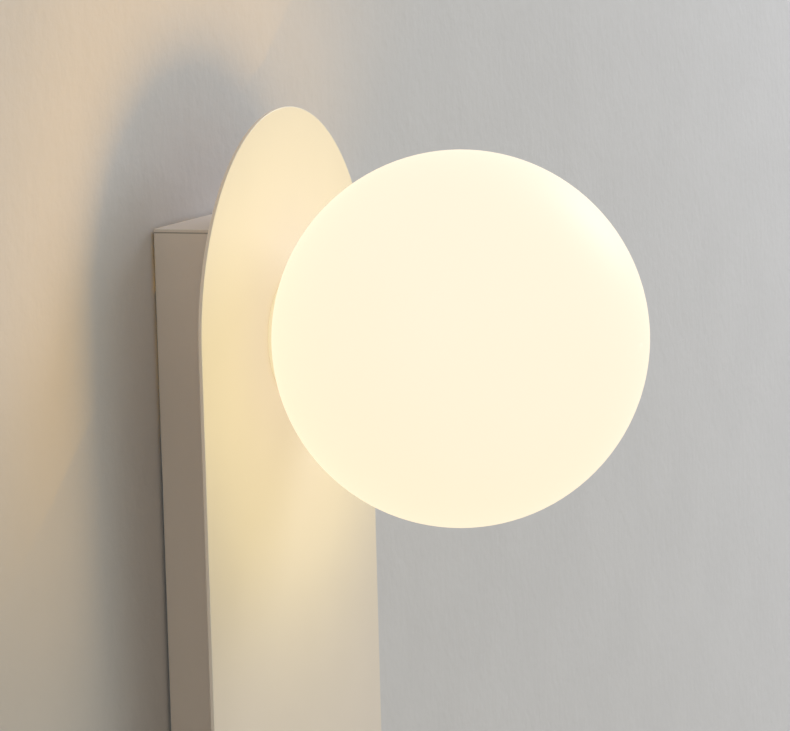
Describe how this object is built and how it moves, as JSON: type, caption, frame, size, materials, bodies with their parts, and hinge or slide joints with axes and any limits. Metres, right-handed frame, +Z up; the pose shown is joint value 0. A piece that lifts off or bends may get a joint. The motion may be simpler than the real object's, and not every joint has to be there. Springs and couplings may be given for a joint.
{
  "type": "wall sconce",
  "caption": "Wall sconce: a flat sheet-metal housing on a hidden back plate, a long face panel with round ends in front of it, and a screw-in opal glass globe near its top.",
  "frame": {"origin": "on the wall plane, at the centre of the back plate's four fixing slots", "axes": "+Y into the wall, so the light faces -Y; +Z up along the panel; +X across it"},
  "size_m": [0.175, 0.187, 0.6],
  "materials": {
    "cream_paint": "fine satin powder coat",
    "opal_glass": "opal white, satin, lit from inside",
    "zinc_steel": "zinc plated",
    "spring_steel": "plain",
    "brass": "plain",
    "ceramic": "unglazed white ceramic",
    "lamp_cap": "clear, slightly milky",
    "lamp_core": "yellow phosphor",
    "white_plastic": "moulded",
    "silicone": "translucent silicone",
    "grey_rubber": "soft",
    "brown_lead": "silicone lead",
    "blue_lead": "silicone lead",
    "green_lead": "green and yellow lead"
  },
  "bodies": {
    "back_plate": {"back_plate": "zinc_steel", "supply_grommet": "grey_rubber", "spring_clips": "spring_steel", "clip_rivets": "zinc_steel", "plate_earth_washer": "brass", "plate_earth_screw": "brass"},
    "lock_washer": {"lock_washer": "zinc_steel"},
    "lock_screw": {"lock_screw": "zinc_steel"},
    "housing": {"housing_channel": "cream_paint", "top_end_plate": "cream_paint", "bottom_end_plate": "cream_paint", "face_panel": "cream_paint", "panel_studs": "zinc_steel", "panel_washers": "zinc_steel", "panel_nuts": "zinc_steel", "shade_cup": "zinc_steel", "cup_screws": "zinc_steel", "lampholder": "ceramic", "lampholder_contacts": "brass", "lampholder_screws": "zinc_steel", "terminal_block": "white_plastic", "terminal_clamps": "brass", "terminal_screws": "zinc_steel", "terminal_fixings": "zinc_steel", "live_wire": "brown_lead", "neutral_wire": "blue_lead", "earth_wire": "green_lead", "earth_stud": "zinc_steel", "earth_tag": "brass", "earth_nut": "zinc_steel"},
    "gasket": {"globe_gasket": "silicone"},
    "globe": {"globe": "opal_glass"},
    "bulb": {"bulb_pins": "spring_steel", "bulb_base": "ceramic", "bulb_core": "lamp_core", "bulb_capsule": "lamp_cap"}
  },
  "joints": [
    {"name": "housing_lift_off", "type": "slide", "parent": "back_plate", "child": "housing", "axis": [0, -1, 0], "range_m": [0, 0.06]},
    {"name": "lock_screw_travel", "type": "slide", "parent": "back_plate", "child": "lock_washer", "axis": [0, 0, -1], "range_m": [0, 0.0035]},
    {"name": "lock_screw_turn", "type": "hinge", "parent": "lock_washer", "child": "lock_screw", "pos_m": [0, -0.013, -0.2555], "axis": [0, 0, -1], "range_deg": [0, 1800]},
    {"name": "globe_travel", "type": "slide", "parent": "housing", "child": "gasket", "axis": [0, -1, 0], "range_m": [0, 0.0061]},
    {"name": "globe_turn", "type": "hinge", "parent": "gasket", "child": "globe", "pos_m": [0, -0.0389, 0.2082], "axis": [0, -1, 0], "range_deg": [0, 540]},
    {"name": "lamp_pull", "type": "slide", "parent": "housing", "child": "bulb", "axis": [0, -1, 0], "range_m": [0, 0.012]}
  ],
  "couplings": [
    {"joint": "lock_screw_turn", "follows": "lock_screw_travel", "rad_per_m": 8975.9},
    {"joint": "globe_travel", "follows": "globe_turn", "m_per_rad": 0.00063662}
  ]
}
